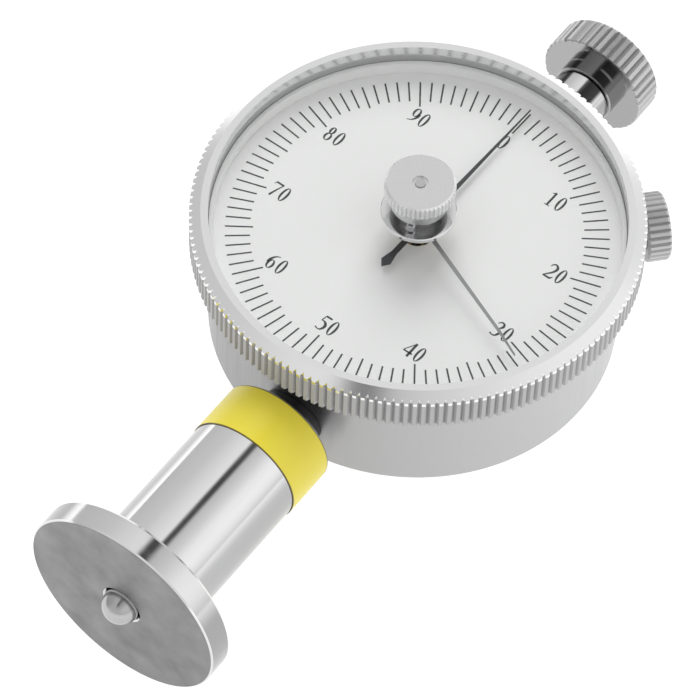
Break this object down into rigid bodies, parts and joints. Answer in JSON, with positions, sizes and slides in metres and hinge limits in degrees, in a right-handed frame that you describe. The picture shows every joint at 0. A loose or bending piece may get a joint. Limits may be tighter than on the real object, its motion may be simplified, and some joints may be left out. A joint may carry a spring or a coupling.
{
  "type": "dial hardness tester",
  "caption": "Hand-held dial durometer with a sprung ball indenter in a round presser foot, a live pointer, a drag pointer with a reset knob, a turning bezel and a bezel clamp.",
  "frame": {"origin": "centre of the back cover's flat outer face, on the case axis", "axes": "+Z along the case axis out of the dial, +Y from the presser foot to the top knob, +X to the right as the dial is read"},
  "size_m": [0.06, 0.113, 0.036],
  "materials": {
    "case_metal": "satin chrome plate",
    "bezel_metal": "chrome plate, knurled rim",
    "stem_chrome": "bright chrome plate",
    "foot_metal": "bright chrome plate",
    "knob_metal": "chrome plate, knurled",
    "black_collar": "black, satin",
    "yellow_band": "glossy yellow",
    "dial_white": "matt white",
    "crystal_clear": "clear, polished",
    "seal_rubber": "matt black",
    "dark_pointer": "black, satin",
    "grey_pointer": "grey, satin",
    "steel": "ground",
    "spring_steel": "blue grey, drawn wire",
    "brass": "machined"
  },
  "bodies": {
    "case": {"case_shell": "case_metal", "back_cover": "case_metal", "cover_screws": "steel", "stem_collar": "black_collar", "collar_nut": "steel", "upper_bush": "brass", "stem_tube": "stem_chrome", "seal_band": "yellow_band", "spring_adjuster": "steel", "lower_bush": "brass", "presser_foot": "foot_metal", "main_spring": "spring_steel", "neck_tube": "stem_chrome", "knob_stud": "steel", "clamp_boss": "case_metal", "rear_plate": "brass", "front_plate": "brass", "plate_pillars": "brass", "plate_screws": "steel", "frame_screws": "steel", "centre_bridge": "brass", "hairspring": "spring_steel", "hairspring_stud": "brass", "guide_block": "brass"},
    "spindle_unit": {"spindle": "steel", "indenter": "steel", "spring_collar": "steel", "guide_pin": "steel"},
    "rack_arbor": {"rack_pinion": "steel", "drive_wheel": "brass"},
    "centre_arbor": {"centre_pinion": "steel", "main_hand": "dark_pointer", "hand_boss": "dark_pointer"},
    "takeup_unit": {"takeup_arbor": "steel", "takeup_wheel": "brass"},
    "bezel_unit": {"bezel_ring": "bezel_metal", "crystal": "crystal_clear", "crystal_gasket": "seal_rubber", "dial_plate": "dial_white", "dial_carrier": "brass", "snap_ring": "spring_steel", "hub_bush": "brass", "hub_flange": "stem_chrome"},
    "drag_unit": {"drag_arbor": "steel", "reset_knob": "knob_metal", "knob_screw": "steel", "drag_hand": "grey_pointer"},
    "clamp_shoe_unit": {"clamp_shoe": "steel"},
    "clamp_knob_unit": {"clamp_knob": "knob_metal"},
    "top_knob_unit": {"top_knob": "knob_metal"}
  },
  "joints": [
    {"name": "spindle_press", "type": "slide", "parent": "case", "child": "spindle_unit", "axis": [0, 1, 0], "range_m": [0, 0.00254], "stiffness_N_per_m": 3086.6, "springref_m": -0.00017, "deforming": ["main_spring"]},
    {"name": "rack_arbor_spin", "type": "hinge", "parent": "case", "child": "rack_arbor", "pos_m": [-0.00342, 0.0094, 0.0088], "axis": [0, 0, 1], "range_deg": [-1, 91]},
    {"name": "pointer_spin", "type": "hinge", "parent": "case", "child": "centre_arbor", "pos_m": [0, 0, 0.0108], "axis": [0, 0, -1], "range_deg": [-4, 364]},
    {"name": "takeup_spin", "type": "hinge", "parent": "case", "child": "takeup_unit", "pos_m": [0.00342, -0.0094, 0.0088], "axis": [0, 0, 1], "range_deg": [-1, 91], "deforming": ["hairspring"]},
    {"name": "bezel_turn", "type": "hinge", "parent": "case", "child": "bezel_unit", "pos_m": [0, 0, 0.0163], "axis": [0, 0, 1], "continuous": true},
    {"name": "drag_pointer_turn", "type": "hinge", "parent": "bezel_unit", "child": "drag_unit", "pos_m": [0, 0, 0.0215], "axis": [0, 0, -1], "range_deg": [-106, 243]},
    {"name": "clamp_shoe_slide", "type": "slide", "parent": "case", "child": "clamp_shoe_unit", "axis": [0.682, 0.7314, 0], "range_m": [-0.00018056, 0.000125]},
    {"name": "clamp_turn", "type": "hinge", "parent": "clamp_shoe_unit", "child": "clamp_knob_unit", "pos_m": [0, 0, 0.0114], "axis": [0.682, 0.7314, 0], "range_deg": [-130.5, 90.5]},
    {"name": "top_knob_turn", "type": "hinge", "parent": "case", "child": "top_knob_unit", "pos_m": [0, 0, 0.00675], "axis": [0, 1, 0], "continuous": true}
  ],
  "couplings": [
    {"joint": "rack_arbor_spin", "follows": "spindle_press", "rad_per_m": 618.42},
    {"joint": "pointer_spin", "follows": "spindle_press", "rad_per_m": 2473.7},
    {"joint": "takeup_spin", "follows": "spindle_press", "rad_per_m": 618.42},
    {"joint": "clamp_turn", "follows": "clamp_shoe_slide", "rad_per_m": 12566}
  ]
}
